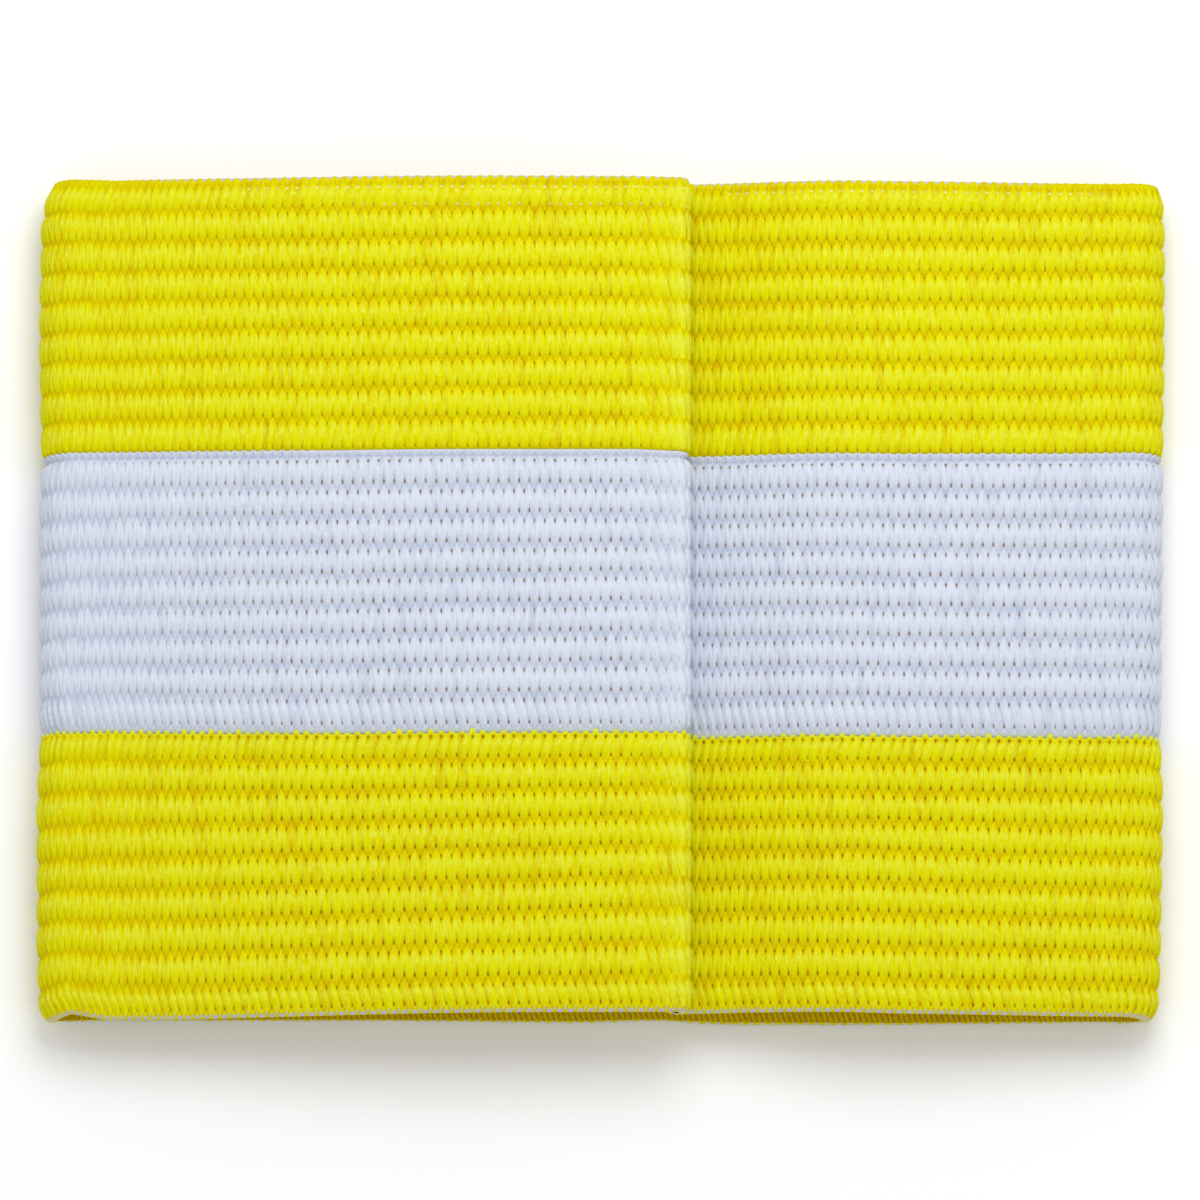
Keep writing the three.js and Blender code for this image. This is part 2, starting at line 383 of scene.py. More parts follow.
def eased(x0, z0, x1, z1, points):
    """A cubic Bezier from (x0, z0) to (x1, z1) whose ends are level for LEVEL_SHARE of its run."""
    t = np.linspace(0, 1, points)
    handle = (x1 - x0) * LEVEL_SHARE
    b = [(1 - t) ** 3, 3 * t * (1 - t) ** 2, 3 * t * t * (1 - t), t**3]
    x = b[0] * x0 + b[1] * (x0 + handle) + b[2] * (x1 - handle) + b[3] * x1
    z = (b[0] + b[1]) * z0 + (b[2] + b[3]) * z1
    return x, z


def from_table(table, x, down):
    """The lift at a place, straight between the table's columns of x and rows of down."""
    total = 0
    for only, lifts in zip(np.eye(len(table["down"])), table["lift"]):
        total = total + np.interp(down, table["down"], only) * np.interp(x, table["x"], lifts)
    return total


class Tape:
    """The middle line of the tape as arrays over its length, and the stitches counted along it.

    The line runs from the raw end of the upper ply, round the seam's roll, along the front left
    panel, round the left fold, along the back, round the right fold and along the front right
    panel to the raw end of the lower ply. Left of it as it runs is the inside of the loop.
    """

    POINTS = 260

    def __init__(self, tape, loop):
        half = tape.cloth_thickness / 2
        ply = tape.cloth_thickness + loop.ply_gap
        roll = ply / 2
        raw_x = loop.seam_edge - roll - half - loop.allowance
        roll_x = loop.seam_edge - roll * loop.roll_squash - half
        fold = loop.fold_height / 2 - half
        fold_x = loop.flat_length / 2 - loop.fold_height / 2
        lower = tape.cloth_thickness + loop.seam_clearance + half
        upper = lower + ply
        left_x = roll_x + (-fold_x - roll_x) * CROWN_PLACE["left"]
        right_x = roll_x + (fold_x - roll_x) * CROWN_PLACE["right"]
        left_z, right_z = loop.left_crown - half, loop.right_crown - half
        fold_z = loop.fold_height - half
        quarter = math.pi / 2
        n = self.POINTS
        runs = [
            ("upper_ply", (np.linspace(raw_x, roll_x, n), np.full(n, upper))),
            ("roll", half_turn(roll_x, upper + roll, roll, -quarter, n, loop.roll_squash)),
            ("left", eased(roll_x, upper + ply, left_x, left_z, n)),
            ("left", eased(left_x, left_z, -fold_x, fold_z, n)),
            ("left_fold", half_turn(-fold_x, half + fold, fold, quarter, n)),
            ("back", (np.linspace(-fold_x, fold_x, n), np.full(n, half))),
            ("right_fold", half_turn(fold_x, half + fold, fold, -quarter, n)),
            ("right", eased(fold_x, fold_z, right_x, right_z, n)),
            ("right", eased(right_x, right_z, roll_x, lower, n)),
            ("lower_ply", (np.linspace(roll_x, raw_x, n), np.full(n, lower))),
        ]
        x, z, part = [], [], []
        for name, (px, pz) in runs:
            skip = 1 if x else 0
            x.append(px[skip:])
            z.append(pz[skip:])
            part += [name] * (n - skip)
        self.x, self.z = np.concatenate(x), np.concatenate(z)
        self.part = np.array(part)
        steps = np.hypot(np.diff(self.x), np.diff(self.z))
        self.s = np.concatenate([[0], np.cumsum(steps)])
        tx, tz = np.gradient(self.x, self.s), np.gradient(self.z, self.s)
        size = np.hypot(tx, tz)
        self.out_x, self.out_z = tz / size, -tx / size
        self.pitch = self.stitch_lengths(tape)
        ahead = np.diff(self.s) / ((self.pitch[1:] + self.pitch[:-1]) / 2)
        count = np.concatenate([[0], np.cumsum(ahead)])
        self.stitches = int(round(count[-1]))
        self.count = count * self.stitches / count[-1]
        self.length = float(self.s[-1])
        rolled = self.s[self.part == "roll"]
        self.roll_middle, self.roll_reach = rolled.mean(), rolled[-1] - rolled[0]
        inwards = np.maximum(rolled[0] - self.s, self.s - self.s[self.part == "lower_ply"][0])
        self.turned = step(inwards, 0, loop.tuck_reach)
        self.panel_end = self.count[self.part == "left_fold"][0]
        self.fold_end = self.count[self.part == "left_fold"][-1]
        self.half = half

    def stitch_lengths(self, tape):
        """Stitch length at each point: from the tables in front, and even at the back."""
        x = self.x / MM
        left = np.interp(x, LEFT_PITCH["x"], LEFT_PITCH["pitch"]) * MM
        right = np.interp(x, RIGHT_PITCH["x"], RIGHT_PITCH["pitch"]) * MM
        pitch = np.full(len(x), tape.back_pitch)
        for name in ("left", "left_fold", "roll"):
            pitch = np.where(self.part == name, left, pitch)
        pitch = np.where(self.part == "upper_ply", left * tape.ply_stretch, pitch)
        for name in ("right", "right_fold", "lower_ply"):
            pitch = np.where(self.part == name, right, pitch)
        return pitch

    def at(self, stitch, name):
        """The line's array of that name at places given in stitches."""
        return np.interp(stitch, self.count, getattr(self, name))


def lay(sizes, stitch, down, out):
    """Points of the laid tape, as (..., 3): the middle line's point at a stitch, moved out of the
    loop by out and across by down from the upper edge. Then the folds are set back, the front
    layer is shifted across in step with its height and moved by its table, the back layer's
    lower edge is moved by its own, and the turned-in plies are tucked in at the lower edge."""
    tape, loop, line = sizes
    width = 3 * tape.stripe_width + 2 * tape.stripe_gap
    x = line.at(stitch, "x") + line.at(stitch, "out_x") * out
    z = line.at(stitch, "z") + line.at(stitch, "out_z") * out
    share = np.clip(down / width, 0, 1)
    left, right = (np.interp(share, FOLD_OUTLINE["down"], FOLD_OUTLINE[side]) for side in ("left", "right"))
    by_fold = step(np.abs(x), loop.flat_length / 2 - loop.fold_fade, loop.flat_length / 2)
    setback = np.where(x < 0, left, right) * by_fold * loop.fold_setback
    front = z / loop.left_crown
    lift = np.interp(x / MM, BACK_LIFT["x"], BACK_LIFT["lift"]) * step(share, 0.8, 1) * step(front, 0.4, 0)
    tables = (from_table(table, x / MM, share) for table in (LEFT_LIFT, RIGHT_LIFT))
    lift = lift + np.where(stitch < line.fold_end, *tables) * step(front, 0.1, 0.4)
    tuck = loop.tuck * line.at(stitch, "turned") * step(share, 0.75, 1)
    y = width / 2 - down + loop.front_shift * (front - 0.5) + lift * MM + tuck
    x, y, z = np.broadcast_arrays(x - np.sign(x) * setback, y, z)
    return np.stack([x, y, z], axis=-1)


def warped(share, row):
    """Where the grid's column at a share of a stitch lies in that stitch, as another share.

    The columns follow the two yarn legs. These lie close together at the rib's upper holes and
    half a stitch apart at its lower ones, so their place c goes straight from the one LEG_PLACE to
    the other down the rib, and back through the groove."""
    halfway = sum(LEG_PLACE) / 2
    c = np.interp(row % 1, [0, UPPER_HOLE, LOWER_HOLE, 1], [halfway, *LEG_PLACE, halfway])
    q = share
    first = q / 0.25 * c
    second = c + (q - 0.25) / 0.25 * (0.5 - c)
    third = 0.5 + (q - 0.5) / 0.25 * (0.5 - c)
    fourth = 1 - c + (q - 0.75) / 0.25 * c
    return np.select([q < 0.25, q < 0.5, q < 0.75], [first, second, third], fourth)


def bell(f, middle):
    """A bell across the rib about the place middle: exp(-(d / 0.07)^2), d being the distance."""
    return np.exp(-(((f - middle) / 0.07) ** 2))


def rib_relief(tape, share, row, opened, lean, tone, flat):
    """Height of the outer face against the ribs' crest, which is 0.

    The rib itself falls by |2 f - 1|^3.2 rib depths, f being the place from groove to groove, and
    less so where it is stretched flat. Between the legs lie valleys, (1 - |sin 2 pi q|) deep,
    which widen towards the holes: those at q = 1/2 towards the upper holes and those at q = 0
    towards the lower ones. In a leaning rib one leg lies over the other, so that a single valley
    slants from each upper hole to a lower one. In the groove the stitches' rounded ends stand up,
    at q = 0 from below and at q = 1/2 from above. Each hole is a pit."""
    f = row % 1
    crest = -tape.rib_depth * np.abs(2 * f - 1) ** 3.2 * (1 - 0.6 * flat)
    ridge = np.abs(np.sin(2 * math.pi * share))
    swing = (1 + np.cos(2 * math.pi * share)) / 2
    down = np.clip((f - UPPER_HOLE) / (LOWER_HOLE - UPPER_HOLE), 0, 1)
    middle = np.abs(share - 0.5) < 0.25
    in_rib = step(f, 0.05, 0.15) * step(f, 0.95, 0.85)
    valley = np.where(middle, 1 - 0.8 * down, 0.2 + 0.8 * down)
    legs = -tape.leg_relief * (1 - ridge) * valley
    legs = legs + tape.leg_relief * 0.2 * ridge * tone
    over = tape.leg_relief * 1.4 * (np.cos(2 * math.pi * (share - 0.5 * down * np.sign(lean))) - 1) / 2
    legs = (legs * (1 - np.abs(lean)) + over * np.abs(lean)) * in_rib
    arches = bell(f, 0.09) * (1 - swing) + bell(f, 0.91) * swing
    to_middle, to_end = np.abs(share - 0.5), np.minimum(share, 1 - share)
    at_upper = bell(f, UPPER_HOLE) * np.clip(1 - to_middle / 0.15, 0, 1)
    at_lower = bell(f, LOWER_HOLE) * np.clip(1 - to_end / 0.15, 0, 1)
    return crest + legs - tape.arch_relief * arches - tape.hole_depth * opened * (at_upper + at_lower)


def stripe_top(stripe, tape):
    """How far down the tape the stripe's upper edge lies."""
    return stripe["order"] * (tape.stripe_width + tape.stripe_gap)


def row_places(stripe, tape):
    """The rows of one stripe's ribs: their count in ribs, and how far down the tape they lie."""
    ribs = np.arange(RIBS)
    uppers = stripe["second_upper"] + stripe["pitch"] * (ribs - 1)
    uppers[0] = stripe["first_upper"]
    lowers = stripe["first_lower"] + stripe["pitch"] * ribs
    lowers[-1] = stripe["last_lower"]
    ends = [-EDGES[stripe["upper_edge"]]["beyond"][0], EDGES[stripe["lower_edge"]]["beyond"][0]]
    ends = [ends[0] * MM / tape.stripe_width, 1 + ends[1] * MM / tape.stripe_width]
    grooves = np.concatenate([ends[:1], (lowers[:-1] + uppers[1:]) / 2, ends[1:]])
    knots = np.concatenate([np.arange(RIBS + 1), ribs + UPPER_HOLE, ribs + LOWER_HOLE])
    places = np.concatenate([grooves, uppers, lowers])
    order = np.argsort(knots)
    rows = np.add.outer(ribs, RIB_ROWS).ravel()[1:]
    return rows, stripe_top(stripe, tape) + np.interp(rows, knots[order], places[order]) * tape.stripe_width


def rib_count(stripe, tape, down, rows):
    """How many ribs down a place is: the row's own count from the first holes to the last ones, and
    beyond them by the distance in pitches."""
    pitch = stripe["pitch"] * tape.stripe_width
    top = stripe_top(stripe, tape)
    first = top + stripe["first_upper"] * tape.stripe_width
    last = top + stripe["last_lower"] * tape.stripe_width
    above = UPPER_HOLE - (first - down) / pitch
    below = LAST_HOLE + (down - last) / pitch
    return np.where(rows < UPPER_HOLE, above, np.where(rows > LAST_HOLE, below, rows))


def bump_at(share, phase, width):
    """A rounded bump in every stitch, highest at the share phase, about as wide as the share width."""
    off = np.abs((share - phase + 0.5) % 1 - 0.5)
    return step(off, width / 2 + 0.12, width / 2 - 0.08)


def column_places(line):
    """The grid's columns: the number of the stitch that each lies in, and its share of it. The last
    column ends the last stitch."""
    stitches = np.arange(line.stitches)
    parts = np.where(line.at(stitches + 0.5, "out_z") > FINE_FACING, FINE_COLUMNS, COARSE_COLUMNS)
    whole = np.repeat(stitches, parts)
    first = np.repeat(np.cumsum(parts) - parts, parts)
    share = (np.arange(len(whole)) - first) / parts[whole]
    return np.append(whole, line.stitches), np.append(share, 0.0)


def irregularities(line, seed):
    """The knit's small irregularities, by stitch: how open its holes are, the tone of its two legs,
    how far it strays across the tape, in millimetres, and how tall its bump at an edge is."""
    rng = np.random.default_rng(seed)
    opened = LEAST_OPEN + (1 - LEAST_OPEN) * rng.random((line.stitches + 1, RIBS))
    tone = rng.normal(0, 1, (line.stitches + 1, RIBS, 2))
    stray = rng.normal(0, 1, (line.stitches + 2, RIBS + 1))
    stray = (stray[:-1] + stray[1:]) / 2 * STRAY
    tall = 1 + TALL_SPREAD * np.clip(rng.normal(0, 1, line.stitches + 1), -1, 2)
    return {"open": opened, "tone": tone, "stray": stray, "tall": tall}


class Columns:
    """The columns of the grid: the stitch and the share of it at which each lies, and how the knit,
    its painted shade and the light through its holes differ there, by smooth steps between the
    places that are named at the top of the file. high is true from the upper ply's raw end to the
    left fold, threaded is how much is left of the edge's thread, and thinned how much of the cloth's
    thickness inside the seam's roll."""

    def __init__(self, line, tall):
        whole, share = column_places(line)
        along = whole + share
        x, z = line.at(along, "x") / MM, line.at(along, "z") / MM
        high = along < line.panel_end
        tall = tall[whole]
        openness = np.interp(x, OPENNESS["x"], OPENNESS["open"])
        rolled = np.clip(1 - np.abs(line.at(along, "s") - line.roll_middle) / line.roll_reach, 0, 1)
        values = {
            "whole": whole,
            "share": share,
            "along": along,
            "tall": tall,
            "openness": np.where(line.at(along, "out_z") > OPEN_FACING, openness, BACK_OPENNESS),
            "by_seam": step(x, *SEAM_LEAN) * high,
            "flat": step(x, *SEAM_FLAT) * high,
            "shaded": step(x, *SEAM_SHADE) * (x > 0) * (1 - high) * (z > SHADE_ABOVE),
            "beaded": 1 - step(x, *BEADS_END) * high,
            "lit": step(x, *LIGHT_STARTS) * step(x, *LIGHT_ENDS) * (z > LIGHT_ABOVE) * np.clip(tall, 0.6, 1),
            "more_lit": step(x, *MORE_LIGHT) * (tall > 0.9) * high,
            "threaded": 0.2 + 0.8 * step(np.abs(x), *THREAD_FADES),
            "thinned": 1 - 0.5 * step(rolled, 0, 0.5),
        }
        for name, value in values.items():
            setattr(self, name, value[:, None])


def band(shape, **values):
    """Rows of the grid: each of VALUES by column and row, where those that aren't given are 0."""
    return {name: np.broadcast_to(values.get(name, 0.0), shape) for name in VALUES}


def edge_band(stripe, tape, name, columns):
    """The rows of one edge, from the last stitches to the inner face.

    Row i lies beyond[i] + bump wave[i] + bead past the stripe's edge, the wave being as tall as
    its stitch is, and height[i] + bump lift[i] + bead over the middle plane. The pale thread shows
    by (1 - bump) thread[i], with dots[i] on the bumps' tops."""
    edge = EDGES[stripe[name]]
    beads, wave, lift, thread, dots, spots = (
        np.array(edge.get(key, 0)) for key in ("beads", "wave", "lift", "thread", "dots", "spots")
    )
    bump = bump_at(columns.share, edge["phase"], edge["width"])
    bead = bump * columns.beaded * beads
    beyond = (np.array(edge["beyond"]) + (bump * wave * columns.tall + bead)) * MM
    top = stripe_top(stripe, tape)
    upper = name == "upper_edge"
    down = top - beyond if upper else top + tape.stripe_width + beyond
    pale = (1 - bump) * thread + bump_at(columns.share, edge["phase"], 0) * dots
    if edge.get("fades"):
        pale = pale * columns.threaded
    # A spot of extra painted shade in each stitch, by the edge's spots, shifted half a stitch and weaker
    # where there are no beads.
    spot = bump_at(columns.share - 0.5 * (1 - columns.beaded), 0, 0) * (0.5 + 0.5 * columns.beaded)
    return band(
        down.shape,
        stitch=columns.along,
        down=down,
        height=(np.array(edge["height"]) + bump * lift + bead) * MM,
        across=rib_count(stripe, tape, down, 0 if upper else RIBS),
        depth=edge["depth"] + spot * spots,
        pale=pale,
    )


def rib_band(stripe, sizes, columns, knit, edges):
    """The rows of the outer face, all but the first groove's, which is the upper edge's own.

    Point (column, row) lies at the stitch + the warped share, at the row's place + its stray, and
    at the crest + its relief. The edges' heights are blended in over the ends of the outer ribs."""
    tape, _, line = sizes
    rows, down = row_places(stripe, tape)
    rib, groove = rows.astype(int), np.rint(rows).astype(int)
    whole, share = columns.whole, columns.share
    down = down + knit["stray"][whole, groove] * MM
    opened = stripe["open"] * columns.openness * knit["open"][whole, rib]
    tone = knit["tone"][whole, rib, (share >= 0.5).astype(int)]
    lean = np.array([stripe["lean"].get(i, 0.0) for i in range(RIBS)])[rib]
    lean = np.clip(lean - 0.8 * columns.by_seam, -1, 1)
    height = line.half + rib_relief(tape, share, rows, opened, lean, tone, columns.flat)
    for edge, end in zip(edges, (0, RIBS)):
        near = np.clip(1 - np.abs(rows - end) / UPPER_HOLE, 0, 1)
        height = height + (edge["height"][:, :1] - (line.half - tape.rib_depth)) * near
    # The painted shade: deepest in the grooves, less where the ribs are flat at the seam, which paints light
    # on the seam's roll, and more beside the seam, a painted shadow of the raised left panel.
    depth = np.abs(2 * (rows % 1) - 1) ** 3 - FLAT_DEPTH * columns.flat + SHADE_DEPTH * columns.shaded
    depth[:, 0] += stripe["end_depths"][0]
    depth[:, -1] += stripe["end_depths"][1]
    lit = columns.lit * (rows == UPPER_HOLE) + columns.more_lit * (rows == LOWER_HOLE)
    return band(
        height.shape,
        stitch=whole + warped(share, rows),
        down=down,
        height=height,
        across=rib_count(stripe, tape, down, rows),
        depth=depth,
        tone=tone,
        open=opened,
        pale=-lit * stripe["lit"],
        lean=lean,
    )


def inner_band(stripe, sizes, columns, first, last):
    """The rows of the inner face, from the place first to the place last across the tape. Its loops
    stand up by |sin pi q| - 1 reliefs, and the cloth is thinner inside the seam's roll. Its count
    of ribs lies past the outer face's, by which the material knows it."""
    tape, _, line = sizes
    down = np.linspace(first, last, INNER_ROWS, axis=1)
    loops = tape.inner_relief * (np.abs(np.sin(math.pi * columns.share)) - 1)
    return band(
        down.shape,
        stitch=columns.along,
        down=down,
        height=(-line.half - loops) * columns.thinned,
        across=RIBS + 1 + 2.5 * (RIBS - rib_count(stripe, tape, down, RIBS)),
        # The inner face lies in shade, which is painted as an even depth.
        depth=INNER_DEPTH,
    )


def ring_faces(columns, rows):
    """Faces of a ring of rows carried along the columns: the sides, and one face at each end."""
    corner = np.arange(columns * rows).reshape(columns, rows)
    beside = np.roll(corner, -1, axis=1)
    sides = np.stack([corner[:-1], corner[1:], beside[1:], beside[:-1]], axis=-1).reshape(-1, 4)
    return [sides, corner[:1], corner[-1:, ::-1]]


def stripe_grid(sizes, stripe, seed):
    """Points, faces and attributes of one stripe, a closed grid of columns by rows.

    A column runs from the inner face round the upper edge, down the outer face, round the lower
    edge and back up the inner face.

    The attribute cloth holds the stitch count, the rib count and the painted shade there, which is
    deepest in the grooves. The attribute wear holds the leg's tone, how open its holes are, and pale
    thread, which is below 0 for holes with light behind them."""
    tape, _, line = sizes
    knit = irregularities(line, seed + stripe["order"])
    columns = Columns(line, knit["tall"])
    upper, lower = (edge_band(stripe, tape, name, columns) for name in ("upper_edge", "lower_edge"))
    ribs = rib_band(stripe, sizes, columns, knit, (upper, lower))
    inner = inner_band(stripe, sizes, columns, lower["down"][:, -1], upper["down"][:, -1])
    upper = {name: values[:, ::-1] for name, values in upper.items()}
    grid = {
        name: np.concatenate([part[name] for part in (upper, ribs, lower, inner)], axis=1) for name in VALUES
    }
    points = lay(sizes, grid["stitch"], grid["down"], grid["height"])
    grid["along"] = np.broadcast_to(columns.along, grid["down"].shape)
    attributes = {
        "cloth": np.stack([grid["along"], grid["across"], grid["depth"]], axis=-1).reshape(-1, 3),
        "wear": np.stack([grid["tone"], grid["open"], grid["pale"]], axis=-1).reshape(-1, 3),
        "lean": grid["lean"].ravel(),
    }
    return points.reshape(-1, 3), ring_faces(*points.shape[:2]), attributes


def mesh_of(name, points, faces, attributes, material):
    """A smooth mesh object at the origin, from whole arrays. Each array in faces has a face a row."""
    mesh = bpy.data.meshes.new(name)
    mesh.vertices.add(len(points))
    mesh.vertices.foreach_set("co", points.astype(np.float32).ravel())
    sides = np.concatenate([np.full(len(some), some.shape[1]) for some in faces])
    mesh.loops.add(int(sides.sum()))
    mesh.loops.foreach_set("vertex_index", np.concatenate([some.ravel() for some in faces]).astype(np.int32))
    mesh.polygons.add(len(sides))
    mesh.polygons.foreach_set("loop_start", (np.cumsum(sides) - sides).astype(np.int32))
    mesh.polygons.foreach_set("use_smooth", np.ones(len(sides), dtype=bool))
    for key, values in attributes.items():
        vector = values.ndim == 2
        layer = mesh.attributes.new(key, "FLOAT_VECTOR" if vector else "FLOAT", "POINT")
        layer.data.foreach_set("vector" if vector else "value", values.astype(np.float32).ravel())
    mesh.update(calc_edges=True)
    if mesh.validate():
        raise RuntimeError(f"{name} has faces that Blender had to mend")
    mesh.materials.append(material)
    made = bpy.data.objects.new(name, mesh)
    bpy.context.scene.collection.objects.link(made)
    return made


class Nodes:
    """A short way to add nodes to a material and join them."""

    def __init__(self, material):
        material.use_nodes = True
        self.tree = material.node_tree
        self.tree.nodes.clear()

    def add(self, kind, inputs=(), **settings):
        node = self.tree.nodes.new(kind)
        for key, value in settings.items():
            setattr(node, key, value)
        for socket, value in dict(inputs).items():
            if isinstance(value, bpy.types.NodeSocket):
                self.tree.links.new(value, node.inputs[socket])
            else:
                node.inputs[socket].default_value = value
        return node

    def math(self, operation, a, b=0.0, c=0.0):
        return self.add("ShaderNodeMath", {0: a, 1: b, 2: c}, operation=operation).outputs[0]

    def plus(self, a, b):
        return self.math("ADD", a, b)

    def less(self, a, b):
        return self.math("SUBTRACT", a, b)

    def times(self, a, b):
        return self.math("MULTIPLY", a, b)

    def square(self, a):
        return self.math("MULTIPLY", a, a)

    def clamp(self, a):
        return self.add("ShaderNodeClamp", {"Value": a}).outputs[0]

    def ramp(self, value, low, high):
        """A smooth step that takes value from low..high to 0..1. low may be the greater one."""
        inputs = {"Value": value, "From Min": low, "From Max": high, "To Min": 0.0, "To Max": 1.0}
        return self.add("ShaderNodeMapRange", inputs, interpolation_type="SMOOTHSTEP").outputs[0]

    def mix(self, factor, a, b):
        node = self.tree.nodes.new("ShaderNodeMix")
        node.data_type = "RGBA"
        for socket, value in zip((node.inputs[0], node.inputs[6], node.inputs[7]), (factor, a, b)):
            if isinstance(value, bpy.types.NodeSocket):
                self.tree.links.new(value, socket)
            else:
                socket.default_value = value
        return node.outputs[2]

    def surface(self, inputs):
        shader = self.add("ShaderNodeBsdfPrincipled", inputs)
        self.add("ShaderNodeOutputMaterial", {"Surface": shader.outputs[0]})


def rgba(colour_value):
    return (*colour_value, 1.0)


class Knit(Nodes):
    """The knit as nodes, drawn in the cloth's own coordinates: stitch and row are the counts of
    stitches along and of ribs down, f is the place in the rib, and to_middle and to_end are how far
    the place lies from the middle and from the end of its stitch."""

    def __init__(self, material):
        super().__init__(material)
        self.cloth = self.add("ShaderNodeAttribute", attribute_name="cloth").outputs["Vector"]
        wear = self.add("ShaderNodeAttribute", attribute_name="wear").outputs["Vector"]
        # depth is the painted shade at each point, below 0 a painted highlight.
        self.stitch, self.row, self.depth = self.add("ShaderNodeSeparateXYZ", {0: self.cloth}).outputs
        self.tone, self.opened, self.pale = self.add("ShaderNodeSeparateXYZ", {0: wear}).outputs
        self.lean = self.add("ShaderNodeAttribute", attribute_name="lean").outputs["Fac"]
        self.lit = self.clamp(self.times(self.pale, -1.0))
        self.inner = self.ramp(self.row, RIBS + 0.6, RIBS + 0.9)
        self.f = self.math("FRACT", self.row)
        self.down = self.clamp(self.times(self.less(self.f, UPPER_HOLE), 1 / (LOWER_HOLE - UPPER_HOLE)))
        self.slid = self.less(self.stitch, self.times(self.times(self.down, 0.5), self.lean))
        self.to_middle = self.off_middle(self.stitch)
        self.to_end = self.less(0.5, self.to_middle)
        self.place_fuzz()

    def size(self, a):
        return self.math("ABSOLUTE", a)

    def off_middle(self, count):
        return self.size(self.less(self.math("FRACT", count), 0.5))

    def wave(self, count, turns, turned=0.0):
        """cos(2 pi turns count + turned)."""
        return self.math("COSINE", self.math("MULTIPLY_ADD", count, 2 * math.pi * turns, turned))

    def place_fuzz(self):
        """Fine filaments that run along each leg, about 0, and broad patches of tone, about 0."""
        thin = {0: self.times(self.slid, 7.0), 1: self.times(self.row, 4.0), 2: self.tone}
        thin = self.add("ShaderNodeCombineXYZ", thin).outputs[0]
        fine = {"Vector": thin, "Scale": 1.0, "Detail": 4.0, "Roughness": 0.7}
        broad = {"Vector": self.cloth, "Scale": 0.35, "Detail": 2.0}
        self.fuzz = self.less(self.add("ShaderNodeTexNoise", fine).outputs["Fac"], 0.5)
        self.patches = self.less(self.add("ShaderNodeTexNoise", broad).outputs["Fac"], 0.5)

    def holes_and_tails(self):
        """The pointed holes at the upper and lower ends of the stitches, and the fading lines that
        run on from them between the legs. v is the way from the hole's row into the rib."""
        first = self.ramp(self.row, 0.6, 0.4)
        edge = self.math("MULTIPLY_ADD", self.lit, -1.0, 1.6)
        holes, tails = [], []
        for place, off, way in ((UPPER_HOLE, self.to_middle, 1.0), (LOWER_HOLE, self.to_end, -1.0)):
            v = self.times(self.less(self.f, place), way / 0.075)
            wide = self.math("MAXIMUM", self.math("MULTIPLY_ADD", v, -0.035, 0.075), 0.02)
            wide = self.times(wide, self.math("MULTIPLY_ADD", first, 0.35, 1.0))
            high = self.times(v, self.math("MULTIPLY_ADD", first, 0.35, 0.85))
            square = self.plus(self.square(self.math("DIVIDE", off, wide)), self.square(high))
            holes.append(self.ramp(square, edge, 0.1))
            fading = self.times(self.ramp(v, 5.5, 0.5), self.ramp(v, -1.6, -0.4))
            tails.append(self.times(self.ramp(off, 0.11, 0.0), fading))
        return self.math("MAXIMUM", *holes), self.math("MAXIMUM", *tails)

    def legs(self, tails):
        """The lines between legs, painted as shade: the tails where the legs stand side by side, and a
        slanting line in a leaning rib, where one leg lies over the other."""
        in_rib = self.times(self.ramp(self.f, 0.05, 0.17), self.ramp(self.f, 0.95, 0.83))
        fallen = self.less(self.stitch, self.times(self.times(self.down, 0.5), self.math("SIGN", self.lean)))
        slope = self.times(self.ramp(self.off_middle(fallen), 0.16, 0.0), in_rib)
        upright = self.times(tails, self.less(1.0, self.size(self.lean)))
        return self.math("MAXIMUM", upright, self.times(self.times(slope, self.size(self.lean)), 0.8))

    def grooves(self):
        """The zigzag in the groove where two ribs' stitches meet, which is painted as shade, and the beads
        along it, painted lighter and darker by turns.
        """
        groove = self.less(self.math("FRACT", self.plus(self.row, 0.5)), 0.5)
        swing = self.times(self.wave(self.stitch, 1), 0.09)
        zigzag = self.ramp(self.size(self.plus(groove, swing)), 0.11, 0.0)
        outside = self.times(self.ramp(self.row, -0.04, 0.02), self.ramp(self.row, RIBS + 0.12, RIBS + 0.04))
        beads = self.times(self.ramp(self.size(groove), 0.14, 0.05), self.wave(self.stitch, 2))
        return self.times(zigzag, outside), beads

    def strokes(self):
        """Broken slanting strokes, which stand for the inner face's loops."""
        slant = self.wave(self.stitch, 2, self.times(self.row, 5.0))
        broken = self.ramp(self.less(slant, self.times(self.fuzz, 4.0)), 0.0, 0.6)
        return self.times(broken, self.times(self.inner, 0.75))


